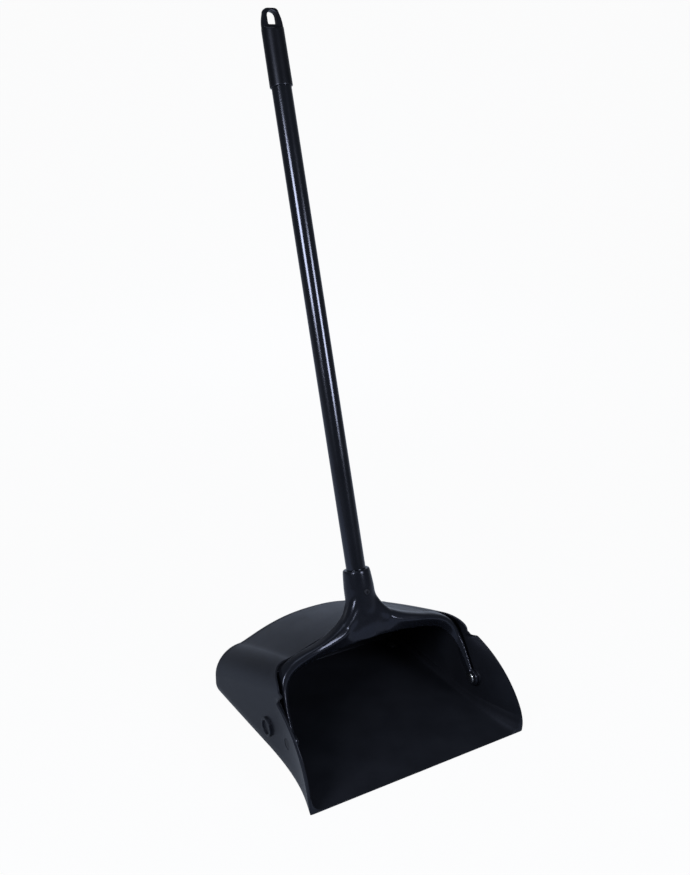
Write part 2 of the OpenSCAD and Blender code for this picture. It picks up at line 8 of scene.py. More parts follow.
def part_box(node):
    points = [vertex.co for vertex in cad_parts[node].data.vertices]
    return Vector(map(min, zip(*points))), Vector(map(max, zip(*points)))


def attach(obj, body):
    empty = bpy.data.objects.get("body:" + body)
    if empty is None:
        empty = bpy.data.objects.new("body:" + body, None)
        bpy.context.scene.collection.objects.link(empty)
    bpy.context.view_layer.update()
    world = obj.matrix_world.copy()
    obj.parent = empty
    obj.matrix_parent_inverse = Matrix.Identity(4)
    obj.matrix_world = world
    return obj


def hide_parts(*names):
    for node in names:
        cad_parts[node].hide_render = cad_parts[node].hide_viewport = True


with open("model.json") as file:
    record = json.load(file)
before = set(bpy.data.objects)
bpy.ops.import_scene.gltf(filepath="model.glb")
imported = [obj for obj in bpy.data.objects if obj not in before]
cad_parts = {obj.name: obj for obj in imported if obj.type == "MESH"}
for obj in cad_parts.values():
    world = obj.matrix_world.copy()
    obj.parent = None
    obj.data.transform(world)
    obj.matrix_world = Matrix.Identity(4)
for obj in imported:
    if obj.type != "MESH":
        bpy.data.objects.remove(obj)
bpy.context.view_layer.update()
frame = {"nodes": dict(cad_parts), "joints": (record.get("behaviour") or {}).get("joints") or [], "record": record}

# Pan shell
# The pan is one injection moulding in black polypropylene: floor with a thin lip, side walls
# that flare to ears, a back wall, and a sloping hood with round shoulders over them.
pan_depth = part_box("pan_body")[1].y
wall = 0.0026
base_half = 0.145
mouth_half = 0.147
belly_half = 0.1535
lip_flare = 0.017
lip_thickness = 0.0012
lip_land = 0.018
lip_run = 0.032
floor_lift = 0.0015
corner_r = 0.004
lip_corner_r = 0.001
lip_fillet_r = 0.018
back_fillet_r = 0.006
back_r = 0.0045
roll_h = 0.020
belly_h = 0.029
shoulder_h = 0.0405
shoulder_half = 0.113
crown_h = 0.025
crown_drop = 0.0035
hood_droop = 0.0055
hood_slope = tan(radians(21.8))
hood_edge_y = 0.141
brow_y = 0.0997
shoulder_y = 0.107
scallop_half = 0.075
scallop_y = 0.15947
ear_top_y = 0.095
ear_flare = 0.010
flare_end_y = 0.130
ear_flare_end_y = 0.116
ear_share = 0.893
brow_share = 0.954
edge_turn_share = 0.78
ear_bow = 1.6
flare_bow = 2.4
flare_end_bow = 3
droop_bow = 2
crown_bow = 2.3
crown_foot = 1.2
rim_r = 0.0013


def clamped(t):
    return min(1.0, max(0.0, t))


def eased(t):
    t = clamped(t)
    return t * t * (3 - 2 * t)


def spring_z(y):
    return belly_h + (pan_depth - y) * hood_slope


def arc_h(y):
    far = clamped((pan_depth - y) / (pan_depth - hood_edge_y))
    return shoulder_h - hood_droop * far ** droop_bow


def side_half(y):
    return mouth_half + (belly_half - mouth_half) * clamped((y - brow_y) / (pan_depth - brow_y))


def underside_z(y):
    return floor_lift * eased((y - lip_land) / lip_run)


def floor_thickness(y):
    return lip_thickness + (wall - lip_thickness) * eased(y / lip_run)


def corner_at(y):
    return lip_corner_r + (corner_r - lip_corner_r) * eased(y / lip_run)


def fillet_r(y):
    return back_fillet_r + (lip_fillet_r - back_fillet_r) * (1 - clamped(y / flare_end_y)) ** 2


def edge_y(zone, q):
    """Where the front edge of the pan lies, at a share q of a zone of its section."""
    if zone == "side" and q <= ear_share:
        return ear_top_y * (q / ear_share) ** ear_bow
    if zone == "side" and q <= brow_share:
        return ear_top_y + (brow_y - ear_top_y) * (q - ear_share) / (brow_share - ear_share)
    if zone == "side":
        return brow_y + (shoulder_y - brow_y) * (q - brow_share) / (1 - brow_share)
    if zone == "shoulder":
        return shoulder_y + (hood_edge_y - shoulder_y) * eased(q / edge_turn_share)
    if zone == "crown":
        away = clamped(shoulder_half * (1 - q) / scallop_half)
        return hood_edge_y + (scallop_y - hood_edge_y) * (1 + cos(pi * away)) / 2
    return 0.0


def flare(zone, q, y):
    """How far lip and ears stand out past the side walls; it dies away over the notch."""
    if zone in ("shoulder", "crown"):
        return 0.0
    start = edge_y(zone, q)
    up = min(q, ear_share) / ear_share if zone == "side" else 0.0
    rim = lip_flare + (ear_flare - lip_flare) * up
    end = ear_flare_end_y + (flare_end_y - ear_flare_end_y) * (1 - up) ** flare_end_bow
    notch = 1 - eased((q - ear_share) / (brow_share - ear_share)) if zone == "side" else 1.0
    return notch * rim * (1 - clamped((y - start) / (end - start))) ** flare_bow


def section_point(zone, q, y, inset, lift, r):
    """Half width and height of the section at y, a distance inset inside the outer form."""
    out = flare(zone, q, y)
    low = underside_z(y) + lift
    if zone == "floor":
        return q * (base_half - inset - r + out), low
    if zone == "corner":
        turn = q * pi / 2
        return base_half - inset - r + out + r * sin(turn), low + r * (1 - cos(turn))
    if zone == "side":
        z = low + r + q * (spring_z(y) - low - r)
        roll = 1 - (1 - clamped(z / roll_h)) ** 2
        return base_half - inset + (side_half(y) - base_half) * roll + out, z
    if zone == "shoulder":
        turn = q * pi / 2
        reach = side_half(y) - shoulder_half - inset
        return shoulder_half + reach * cos(turn), spring_z(y) + (arc_h(y) - inset) * sin(turn)
    rise = crown_h - crown_drop * (pan_depth - y) / (pan_depth - hood_edge_y)
    top = spring_z(y) + arc_h(y) - inset
    return shoulder_half * (1 - q), top + rise * (1 - (1 - q) ** crown_bow) ** crown_foot


def steps(start, end, count):
    return [start + (end - start) * (i + 1) / count for i in range(count)]


zone_steps = [("floor", 0, 1, 12), ("corner", 0, 1, 7), ("side", 0, ear_share, 36),
              ("side", ear_share, brow_share, 7), ("side", brow_share, 1, 3),
              ("shoulder", 0, 1, 24), ("crown", 0, 1, 24)]
half_keys = [("floor", 0.0)]
for zone, start, end, count in zone_steps:
    half_keys += [(zone, q) for q in steps(start, end, count)]
ring_keys = [(1, key) for key in half_keys] + [(-1, key) for key in reversed(half_keys)]


def outer_point(key, y, shrink=0.0, back=0.0):
    x, z = section_point(*key, y, shrink, shrink, corner_at(y))
    return Vector((x, y + back, z))


def inner_point(key, y, shrink=0.0, back=0.0, r=None):
    lift = floor_thickness(y) + shrink
    x, z = section_point(*key, y, wall + shrink, lift, fillet_r(y) if r is None else r)
    return Vector((x, y + back, z))


depth_count = 26
depth_bow = 1.4
bend_count = 5
rim_count = 8
back_fan_share = 0.4


def wall_strip(key):
    """One lengthwise line of the shell: back wall, outside, round the rim, inside, back wall."""
    start = edge_y(*key)
    end = pan_depth - back_r
    depths = [start + (end - start) * share ** depth_bow for share in steps(0, 1, depth_count)]
    bends = steps(0, pi / 2, bend_count)
    inner_r = back_r - wall
    outside = [outer_point(key, y) for y in depths]
    inside = [inner_point(key, y) for y in depths]
    outer_back = [outer_point(key, end, back_r * (1 - cos(a)), back_r * sin(a)) for a in bends]
    inner_back = [inner_point(key, end, inner_r * (1 - cos(a)), inner_r * sin(a), back_fillet_r)
                  for a in bends]
    edge_out, edge_in = outer_point(key, start), inner_point(key, start)
    half = (edge_out - edge_in) / 2
    r = min(rim_r, half.length)
    ahead = (edge_out - outer_point(key, start + rim_r)).normalized() * r
    middle = (edge_out + edge_in) / 2 - ahead
    rim = [middle + half * cos(a) + ahead * sin(a) for a in [0] + steps(0, pi, rim_count)]
    back_outside = Vector((0, pan_depth, belly_h))
    back_inside = Vector((0, pan_depth - wall, belly_h))
    strip = [back_outside, outer_back[-1].lerp(back_outside, back_fan_share)]
    strip += list(reversed(outer_back)) + list(reversed(outside)) + rim + inside + inner_back
    return strip + [inner_back[-1].lerp(back_inside, back_fan_share), back_inside]


weld_gap = 0.00001


def lofted(name, strips):
    """A grid whose columns lie on the given lines, with its seam and poles merged."""
    columns, rows = len(strips) - 1, len(strips[0]) - 1
    bpy.ops.object.select_all(action="DESELECT")
    bpy.ops.mesh.primitive_grid_add(x_subdivisions=columns, y_subdivisions=rows, size=1)
    piece = bpy.context.object
    piece.name = name
    for vertex in piece.data.vertices:
        column = round((vertex.co.x + 0.5) * columns)
        row = round((vertex.co.y + 0.5) * rows)
        vertex.co = strips[column][row]
    bpy.ops.object.mode_set(mode="EDIT")
    bpy.ops.mesh.select_all(action="SELECT")
    bpy.ops.mesh.remove_doubles(threshold=weld_gap)
    bpy.ops.mesh.normals_make_consistent(inside=False)
    bpy.ops.object.mode_set(mode="OBJECT")
    return piece


def mirrored(side, point):
    return Vector((side * point.x, point.y, point.z))


half_strips = {key: wall_strip(key) for key in half_keys}
pan = lofted("pan_shell", [[mirrored(side, place) for place in half_strips[key]]
                           for side, key in ring_keys])
fine_weld_gap = 0.000001


def turned(name, profile, sides=64, ring=False):
    """A turned form round Z: a circle drawn out through stations of radius and height."""
    bpy.ops.object.select_all(action="DESELECT")
    bpy.ops.mesh.primitive_circle_add(vertices=sides, radius=profile[0][0],
                                      location=(0, 0, profile[0][1]),
                                      fill_type="NOTHING" if ring else "NGON")
    piece = bpy.context.object
    piece.name = name
    bpy.ops.object.transform_apply(location=True, rotation=True, scale=True)
    bpy.ops.object.mode_set(mode="EDIT")
    bpy.ops.mesh.select_all(action="SELECT")
    for (r0, z0), (r1, z1) in zip(profile, profile[1:]):
        bpy.ops.mesh.extrude_region_move(TRANSFORM_OT_translate={"value": (0, 0, z1 - z0)})
        bpy.ops.transform.resize(value=(r1 / r0, r1 / r0, 1), center_override=(0, 0, 0))
    bpy.ops.mesh.select_all(action="SELECT")
    bpy.ops.mesh.remove_doubles(threshold=fine_weld_gap)
    bpy.ops.mesh.normals_make_consistent(inside=False)
    bpy.ops.object.mode_set(mode="OBJECT")
    return piece


def picked(piece):
    bpy.ops.object.select_all(action="DESELECT")
    piece.select_set(True)
    bpy.context.view_layer.objects.active = piece


def settled(piece, matrix):
    """Moves a piece to its place and writes that place into its mesh."""
    picked(piece)
    piece.matrix_world = matrix @ piece.matrix_world
    bpy.ops.object.transform_apply(location=True, rotation=True, scale=True)
    return piece


def round_bar(name, r, start, end, place, sides=64):
    """A straight round bar along its axis, as a form or as the tool for a hole."""
    return settled(turned(name, [(r, start), (r, end)], sides), place)


def joined(name, pieces):
    bpy.ops.object.select_all(action="DESELECT")
    for piece in pieces:
        piece.select_set(True)
    bpy.context.view_layer.objects.active = pieces[0]
    bpy.ops.object.join()
    pieces[0].name = name
    return pieces[0]


def worked(piece, kind, **settings):
    """Adds a modifier with its settings and applies it."""
    modifier = piece.modifiers.new(kind.lower(), kind)
    for setting, value in settings.items():
        setattr(modifier, setting, value)
    picked(piece)
    bpy.ops.object.modifier_apply(modifier=modifier.name)


def combined(piece, tool, operation):
    worked(piece, "BOOLEAN", operation=operation, solver="EXACT", object=tool)
    bpy.data.objects.remove(tool)


def smoothed(piece, degrees):
    picked(piece)
    bpy.ops.object.shade_smooth_by_angle(angle=radians(degrees))
    return piece


pivot = Vector(frame["joints"][0]["pos_m"])


def across(side, x, y, z):
    """The place of a form turned round X, its Z end pointing outwards on that side."""
    return Matrix.Translation((side * x, y, z)) @ Matrix.Rotation(side * pi / 2, 4, "Y")


# Details moulded on the walls: round side bosses with a recess, pads inside the ears for the
# washers and sunk seats outside for the flat rivet heads.
boss_y = 0.138
boss_z = 0.037
boss_r = 0.0132
boss_recess_r = 0.009
boss_proud = 0.0032
boss_recess = 0.0024
pad_r = 0.011
pad_in_x = 0.1437
pad_out_x = 0.1473
rivet_head_r = 0.0075
seat_x = 0.14683
fit_gap = 0.00008
edge_r = 0.0006
boss_edge_r = 0.0013
boss_foot_h = 3 * edge_r
boss_h = wall / 2 + boss_proud
boss_turn_count = 5
boss_turns = steps(0, pi / 2, boss_turn_count)
moulded_crease = 32
boss_profile = [(boss_r + edge_r, 0), (boss_r, boss_foot_h), (boss_r, boss_h - boss_edge_r)]
boss_profile += [(boss_r - boss_edge_r * (1 - cos(a)), boss_h - boss_edge_r * (1 - sin(a)))
                 for a in boss_turns]
boss_profile += [(boss_recess_r + boss_edge_r * (1 - cos(a)), boss_h - boss_edge_r * (1 - sin(a)))
                 for a in reversed([0] + boss_turns)]
boss_profile += [(boss_recess_r, boss_h - boss_recess + edge_r),
                 (boss_recess_r - edge_r, boss_h - boss_recess)]
pad_h = pad_out_x - pad_in_x
pad_profile = [(pad_r, 0), (pad_r, pad_h - edge_r / 2), (pad_r - edge_r / 2, pad_h)]
added = []
for side in (-1, 1):
    boss = turned("boss", boss_profile)
    added.append(settled(boss, across(side, side_half(boss_y) - wall / 2, boss_y, boss_z)))
    pad = turned("pad", pad_profile)
    added.append(settled(pad, across(-side, -pad_out_x, pivot.y, pivot.z)))
combined(pan, joined("moulded_details", added), "UNION")
seats = []
for side in (-1, 1):
    seats.append(round_bar("seat", rivet_head_r + fit_gap, 0, ear_flare,
                           across(side, seat_x, pivot.y, pivot.z)))
combined(pan, joined("rivet_seats", seats), "DIFFERENCE")
smoothed(pan, moulded_crease)
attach(pan, "pan")
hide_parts("pan_body")
grain_gloss_share = 0.35
mottle_gloss_share = 0.65
mottle_scale = 22.0
cool_tint = (0.74, 0.78, 1.0, 1)


def grain_group():
    """Moulded plastic: fine grain from the tool, flow mottling and light rubbing."""
    group = bpy.data.node_groups.new("moulded_grain", "ShaderNodeTree")
    for name, kind in (("Vector", "NodeSocketVector"), ("Grain Scale", "NodeSocketFloat"),
                       ("Mottle Scale", "NodeSocketFloat")):
        group.interface.new_socket(name, in_out="INPUT", socket_type=kind)
    for name in ("Height", "Tone", "Gloss"):
        group.interface.new_socket(name, in_out="OUTPUT", socket_type="NodeSocketFloat")
    nodes, links = group.nodes, group.links
    inside = nodes.new("NodeGroupInput")
    outside = nodes.new("NodeGroupOutput")
    grain = nodes.new("ShaderNodeTexNoise")
    grain.inputs["Detail"].default_value = 3
    grain.inputs["Roughness"].default_value = 0.6
    mottle = nodes.new("ShaderNodeTexNoise")
    mottle.inputs["Detail"].default_value = 4
    mottle.inputs["Roughness"].default_value = 0.55
    gloss = nodes.new("ShaderNodeMath")
    gloss.operation = "MULTIPLY_ADD"
    gloss.inputs[1].default_value = grain_gloss_share
    links.new(inside.outputs["Vector"], grain.inputs["Vector"])
    links.new(inside.outputs["Vector"], mottle.inputs["Vector"])
    links.new(inside.outputs["Grain Scale"], grain.inputs["Scale"])
    links.new(inside.outputs["Mottle Scale"], mottle.inputs["Scale"])
    links.new(grain.outputs["Fac"], gloss.inputs[0])
    rubbing = nodes.new("ShaderNodeMath")
    rubbing.operation = "MULTIPLY"
    rubbing.inputs[1].default_value = mottle_gloss_share
    links.new(mottle.outputs["Fac"], rubbing.inputs[0])
    links.new(rubbing.outputs[0], gloss.inputs[2])
    links.new(grain.outputs["Fac"], outside.inputs["Height"])
    links.new(mottle.outputs["Fac"], outside.inputs["Tone"])
    links.new(gloss.outputs[0], outside.inputs["Gloss"])
    return group


moulded_grain = grain_group()


def moulded(name, deep, pale, rough, specular, grain_scale, grain_depth):
    """A plastic, enamel or steel with the shared grain, at its own values."""
    material = bpy.data.materials.new(name)
    material.use_nodes = True
    nodes, links = material.node_tree.nodes, material.node_tree.links
    shader = nodes["Principled BSDF"]
    shader.inputs["Specular IOR Level"].default_value = specular
    shader.inputs["Specular Tint"].default_value = cool_tint
    place = nodes.new("ShaderNodeTexCoord")
    grain = nodes.new("ShaderNodeGroup")
    grain.node_tree = moulded_grain
    grain.name = "grain"
    grain.inputs["Grain Scale"].default_value = grain_scale
    grain.inputs["Mottle Scale"].default_value = mottle_scale
    links.new(place.outputs["Object"], grain.inputs["Vector"])
    tone = nodes.new("ShaderNodeValToRGB")
    tone.name = "tone"
    tone.color_ramp.elements[0].position = 0.3
    tone.color_ramp.elements[0].color = (*deep, 1)
    tone.color_ramp.elements[1].position = 0.7
    tone.color_ramp.elements[1].color = (*pale, 1)
    links.new(grain.outputs["Tone"], tone.inputs["Fac"])
    links.new(tone.outputs["Color"], shader.inputs["Base Color"])
    spread = nodes.new("ShaderNodeMapRange")
    spread.name = "spread"
    spread.inputs["From Min"].default_value = 0.25
    spread.inputs["From Max"].default_value = 0.75
    spread.inputs["To Min"].default_value = rough[0]
    spread.inputs["To Max"].default_value = rough[1]
    links.new(grain.outputs["Gloss"], spread.inputs["Value"])
    links.new(spread.outputs["Result"], shader.inputs["Roughness"])
    bump = nodes.new("ShaderNodeBump")
    bump.inputs["Strength"].default_value = 0.6
    bump.inputs["Distance"].default_value = grain_depth
    links.new(grain.outputs["Height"], bump.inputs["Height"])
    links.new(bump.outputs["Normal"], shader.inputs["Normal"])
    return material


def finished(piece, *materials):
    piece.data.materials.clear()
    for material in materials:
        piece.data.materials.append(material)


pan_black = moulded("pan_black", deep=(0.0072, 0.0078, 0.0106), pale=(0.0104, 0.0113, 0.0152),
                    rough=(0.3, 0.4), specular=0.14, grain_scale=1500, grain_depth=0.00003)
finished(pan, pan_black)

# Wear feet
# Two hard plastic pads under the rear corners, each with a stem pressed through the floor and
# spread over it as a button.
foot_w = 0.026
foot_l = 0.021
foot_setback = 0.025
foot_y = pan_depth - foot_setback
foot_edge_r = 0.0005
foot_crease = 40
button_r = 0.007
button_h = 0.0014
button_side_h = 0.0007
button_draft = 0.0004
button_shift = 0.004
floor_z = floor_lift + wall
button_profile = [(button_r, floor_z), (button_r - button_draft, floor_z + button_side_h),
                  (button_r - button_h, floor_z + button_h)]
foot_black = moulded("foot_black", deep=(0.010, 0.010, 0.011), pale=(0.016, 0.016, 0.017),
                     rough=(0.5, 0.65), specular=0.4, grain_scale=900, grain_depth=0.00005)


def block(place, size):
    """A rectangular block, with its place and size in its mesh."""
    bpy.ops.object.select_all(action="DESELECT")
    bpy.ops.mesh.primitive_cube_add(size=1, location=place, scale=size)
    bpy.ops.object.transform_apply(location=True, rotation=True, scale=True)
    return bpy.context.object


for side, hand in ((-1, "left"), (1, "right")):
    low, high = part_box("wear_foot_" + hand)
    foot_x = (low.x + high.x) / 2
    pad = block((foot_x, foot_y, floor_lift / 2), (foot_w, foot_l, floor_lift))
    bpy.ops.object.mode_set(mode="EDIT")
    bpy.ops.mesh.select_all(action="SELECT")
    bpy.ops.mesh.bevel(offset=foot_edge_r, segments=2, affect="EDGES")
    bpy.ops.object.mode_set(mode="OBJECT")
    button = turned("button", button_profile, sides=40)
    settled(button, Matrix.Translation((side * (abs(foot_x) - button_shift), foot_y, 0)))
    foot = smoothed(joined("foot_" + hand, [pad, button]), foot_crease)
    finished(foot, foot_black)
    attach(foot, "pan")
    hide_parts("wear_foot_" + hand)

# Rivets and washers
# Each arm of the yoke turns on a steel rivet, with a nylon washer against the ear and a
# burr under the domed inner head. The burr is given the black rivet colour: painted shade over
# its steel, so that it throws no glint in its recess under the head. The outer head is
# blackened and lies in the ear.
rivet_r = 0.004
rivet_head_h = 0.0024
rivet_flat_h = 0.0009
washer_r = 0.009
washer_t = 0.001
burr_in_x = 0.136
spacer_in_x = 0.1427
head_edge = 0.0003
head_sink = 0.0003
dome_count = 16
ring_sides = 56
turned_crease = 35
rivet_black = moulded("rivet_black", deep=(0.005, 0.0053, 0.0066), pale=(0.0072, 0.0076, 0.0095),
                      rough=(0.38, 0.48), specular=0.15, grain_scale=1200, grain_depth=0.00002)
washer_nylon = moulded("washer_nylon", deep=(0.016, 0.016, 0.018), pale=(0.024, 0.024, 0.026),
                       rough=(0.4, 0.5), specular=0.5, grain_scale=1200, grain_depth=0.00002)
steel = moulded("rivet_steel", deep=(0.42, 0.43, 0.45), pale=(0.52, 0.53, 0.55),
                rough=(0.2, 0.3), specular=0.5, grain_scale=2200, grain_depth=0.00001)
steel.node_tree.nodes["Principled BSDF"].inputs["Metallic"].default_value = 1.0


def ear_face_x(y, z):
    """How far out the ear's outer face lies at a place on it."""
    low = underside_z(y) + corner_at(y)
    return section_point("side", (z - low) / (spring_z(y) - low), y, 0, 0, corner_at(y))[0]


shank = seat_x - burr_in_x
rivet_profile = [(rivet_head_r * sin(a), -rivet_head_h * cos(a))
                 for a in steps(0, pi / 2, dome_count)[:-1]]
rivet_profile += [(rivet_head_r, 0), (rivet_r, weld_gap), (rivet_r, shank), (rivet_head_r, shank),
                  (rivet_head_r, shank + rivet_flat_h - head_edge),
                  (rivet_head_r - head_edge, shank + rivet_flat_h)]
hole_r = rivet_r + fit_gap
bevel = 0.00015
washer_profile = [(hole_r, 0), (washer_r - bevel, 0), (washer_r, bevel),
                  (washer_r, washer_t - bevel), (washer_r - bevel, washer_t),
                  (hole_r, washer_t), (hole_r, 0)]
for side, hand in ((-1, "left"), (1, "right")):
    rivet = turned("rivet_" + hand, rivet_profile, ring_sides)
    settled(rivet, across(side, burr_in_x, pivot.y, pivot.z))
    smoothed(rivet, turned_crease)
    for vertex in rivet.data.vertices:
        if abs(vertex.co.x) > seat_x + fit_gap:
            vertex.co.x = side * (ear_face_x(vertex.co.y, vertex.co.z) - head_sink)
    finished(rivet, steel, rivet_black)
    for face in rivet.data.polygons:
        face.material_index = 1 if abs(face.center.x) > seat_x - fit_gap else 0
    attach(rivet, "pan")
    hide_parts("pivot_rivet_" + hand)
    # The burr ring takes the black rivet colour, painted shade in place of its steel's glint.
    for kind, x, material, slot in (("spacer_washer_", spacer_in_x, washer_nylon, "washer_nylon"),
                                    ("rivet_washer_", burr_in_x, rivet_black, "rivet_steel")):
        ring_name = kind.split("_")[0] + "_ring_" + hand
        washer = turned(ring_name, washer_profile, ring_sides, ring=True)
        settled(washer, across(side, x, pivot.y, pivot.z))
        finished(smoothed(washer, turned_crease), material)
        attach(washer, "pan")
        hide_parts(kind + hand)

# Yoke
# The yoke is a moulding in a glossier black plastic: a bow of angled section from ear to ear,
# like a visor, and in its middle a waisted neck that takes the tube, with a soft rib up each
# side where the bow's ridge runs into it.
eye_out_x = 0.14235
eye_in_x = 0.13735
eye_r = 0.0115
bow_reach = 0.075
bow_height = 0.109
bow_wall = 0.0032
ridge_face = 0.0115
ridge_r = 0.008
ridge_shares = [
    (0.997, -0.1, -0.02), (0.997, 0.04, 0.165), (0.99, 0.2, 0.38), (0.966, 0.32, 0.56),
    (0.915, 0.375, 0.685), (0.827, 0.385, 0.78), (0.704, 0.375, 0.855), (0.563, 0.375, 0.915),
    (0.423, 0.4, 0.965), (0.303, 0.465, 1.02), (0.211, 0.585, 1.09), (0.158, 0.735, 1.185),
    (0.112, 0.87, 1.33), (0, 0.625, 1.25)]
back_shares = [
    (0.997, 0.11, -0.03), (0.998, 0.345, 0.13), (0.993, 0.505, 0.345), (0.977, 0.625, 0.515),
    (0.937, 0.68, 0.635), (0.852, 0.705, 0.735), (0.725, 0.695, 0.815), (0.577, 0.685, 0.87),
    (0.43, 0.735, 0.925), (0.31, 0.8, 0.985), (0.214, 0.885, 1.05), (0.162, 0.96, 1.14),
    (0.112, 1, 1.3), (0, 1.08, 1.28)]
mouth_shares = [
    (0.955, -0.095, -0.02), (0.947, 0.105, 0.155), (0.923, 0.32, 0.36), (0.88, 0.48, 0.485),
    (0.824, 0.555, 0.57), (0.739, 0.59, 0.625), (0.641, 0.6, 0.66), (0.521, 0.59, 0.693),
    (0.38, 0.58, 0.725), (0.254, 0.56, 0.75), (0.176, 0.545, 0.765), (0.113, 0.53, 0.778),
    (0.056, 0.51, 0.785), (0, 0.5, 0.788)]
web_bulge = 0.013
bulge_shares = [0, 0, 0, 0, 0, 0, 0, 0, 0, 0.05, 0.25, 0.75, 1.15, 0.3]
bow_steps = 10


def spline(places):
    """A smooth line through the places."""
    last = len(places) - 1
    line = []
    for i in range(last):
        a, b = places[max(0, i - 1)], places[i]
        c, d = places[i + 1], places[min(last, i + 2)]
        for k in range(bow_steps):
            t = k / bow_steps
            line.append(b + (c - a) * (t / 2) + (2 * a - 5 * b + 4 * c - d) * (t * t / 2)
                        + (3 * b - a - 3 * c + d) * (t ** 3 / 2))
    return line + [places[last]]


def bow_curve(shares):
    """The line of the bow from the right pivot over the middle to the left one."""
    places = [Vector((x * eye_out_x, pivot.y + y * bow_reach, pivot.z + z * bow_height))
              for x, y, z in shares]
    return spline(places + [mirrored(-1, p) for p in reversed(places[:-1])])


def arc(a, b, c, count):
    """A curve from a to c, drawn towards b."""
    return [a * (1 - t) ** 2 + b * (2 * t * (1 - t)) + c * t * t
            for t in [0.0] + steps(0, 1, count)]


cut_share = 0.4
inner_cut_share = 1.05
inner_share = 0.75
flange_share = 0.6
upper_face_share = 0.35
lower_face_share = 0.2
upper_count = 6
lower_count = 5
web_count = 8
inner_count = 5


def bow_ring(ridge, back, mouth, bulge):
    """The angled section: outside from back edge over the ridge to the mouth edge, then inside."""
    e1, e2 = (back - ridge).normalized(), (mouth - ridge).normalized()
    n1, n2 = (e2 - e1 * e2.dot(e1)).normalized(), (e1 - e2 * e1.dot(e2)).normalized()
    apex = ridge + (e1 + e2) * (bow_wall / e2.dot(n1))
    flange_l, web_l = (back - ridge).length, (mouth - ridge).length
    cut = min(ridge_face, flange_l * cut_share, web_l * cut_share)
    upper, lower = ridge + e1 * cut, ridge + e2 * cut
    face = lower - upper
    back_in, mouth_in = back + n1 * bow_wall, mouth + n2 * bow_wall
    inner = max(0.0, min(cut * inner_cut_share, (back_in - apex).dot(e1) * inner_share,
                         (mouth_in - apex).dot(e2) * inner_share))
    flange_top = upper + e1 * min(ridge_r, (flange_l - cut) * flange_share)
    web_top = lower + e2 * min(ridge_r / 2, (web_l - cut) * cut_share)
    ring = [back] + arc(flange_top, upper, upper + face * upper_face_share, upper_count)
    ring += arc(lower - face * lower_face_share, lower, web_top, lower_count)
    web_middle = (web_top + mouth) / 2 - n2 * bulge
    ring += arc(web_top, web_middle, mouth, web_count)[1:] + [mouth_in]
    ring += arc(apex + e2 * inner, apex, apex + e1 * inner, inner_count) + [back_in, back]
    return ring


bulges = spline([web_bulge * share for share in bulge_shares + bulge_shares[-2::-1]])
bow_lines = zip(bow_curve(ridge_shares), bow_curve(back_shares), bow_curve(mouth_shares), bulges)
bow_rings = [bow_ring(*places) for places in bow_lines]


def centre(ring):
    return sum(ring[1:], Vector()) / (len(ring) - 1)


bow_rings = [[centre(bow_rings[0])] * len(bow_rings[0])] + bow_rings
bow_rings += [[centre(bow_rings[-1])] * len(bow_rings[0])]
bow = lofted("bow", bow_rings)
clip_zone = next(m for m in frame["record"]["mounts"] if m["name"] == "handle_clip_zone")
tube_r = clip_zone["dims"]["r_mm"] / 1000
bare_l = clip_zone["dims"]["length_mm"] / 1000
tube_axis = Vector(clip_zone["axis"])
neck_rim = Vector(clip_zone["pos_m"]) - tube_axis * bare_l / 2
handle_lean = Vector((0, 0, 1)).rotation_difference(tube_axis).to_matrix().to_4x4()
on_handle = Matrix.Translation(neck_rim) @ handle_lean
handle_sides = 96
neck_profile = [(0.0125, -0.078), (0.0146, -0.0772), (0.0175, -0.0665), (0.0196, -0.059),
                (0.0204, -0.052), (0.0204, -0.031), (0.0202, -0.024), (0.0196, -0.016),
                (0.019, -0.009), (0.0184, -0.0035), (0.018, -0.0012), (0.0176, -0.0004),
                (0.017, 0)]
neck = settled(turned("neck", neck_profile, handle_sides), on_handle)
eyes = [round_bar("eye", eye_r, 0, eye_out_x - eye_in_x,
                  across(side, eye_in_x, pivot.y, pivot.z)) for side in (-1, 1)]
rib_r = 0.0105
rib_line = [(0.052, 0.1310, 0.1405), (0.032, 0.1320, 0.1486), (0.0200, 0.1362, 0.1556),
            (0.0155, 0.1425, 0.1640), (0.0085, 0.1445, 0.1820)]
rib_taper = [0.2, 0.85, 1.05, 1, 0.8]
ribs = []
for side in (-1, 1):
    bpy.ops.object.select_all(action="DESELECT")
    bpy.ops.curve.primitive_nurbs_path_add()
    rib = bpy.context.object
    for point, place, share in zip(rib.data.splines[0].points, rib_line, rib_taper):
        point.co = (*mirrored(side, Vector(place)), 1)
        point.radius = share
    rib.data.bevel_depth = rib_r
    rib.data.bevel_resolution = 6
    rib.data.use_fill_caps = True
    bpy.ops.object.convert(target="MESH")
    ribs.append(bpy.context.object)
yoke = joined("yoke_moulding", [bow, neck] + ribs + eyes)
worked(yoke, "REMESH", mode="VOXEL", voxel_size=0.001)
worked(yoke, "SMOOTH", factor=0.5, iterations=9)
blend = yoke.vertex_groups.new(name="neck_blend")
blend_centre = Vector((0, 0.132, 0.168))
blend_reach = Vector((0.050, 0.030, 0.036))
blend_rise = 1.6
for vertex in yoke.data.vertices:
    away = vertex.co - blend_centre
    away = Vector(a / b for a, b in zip(away, blend_reach)).length
    blend.add([vertex.index], eased(blend_rise * (1 - away)), "REPLACE")
worked(yoke, "SMOOTH", factor=0.5, iterations=140, vertex_group="neck_blend")
screw_down = 0.029
screw_seat_r = 0.0192
screw_head_r = 0.0042
socket_l = 0.070
socket_overrun = 0.004
screw_seat_gap = 0.0002
screw_seat_end = 0.025
screw_sides = 40
eye_sides = 48
eye_gap = 0.00006
eye_bore_start = -0.001
eye_bore_end = 0.007
burr_gap = 0.00035
burr_room_l = 0.006
bores = [round_bar("socket", tube_r + fit_gap, -socket_l, socket_overrun, on_handle, handle_sides)]
face_screw = on_handle @ Matrix.Translation((0, 0, -screw_down)) @ Matrix.Rotation(pi / 2, 4, "X")
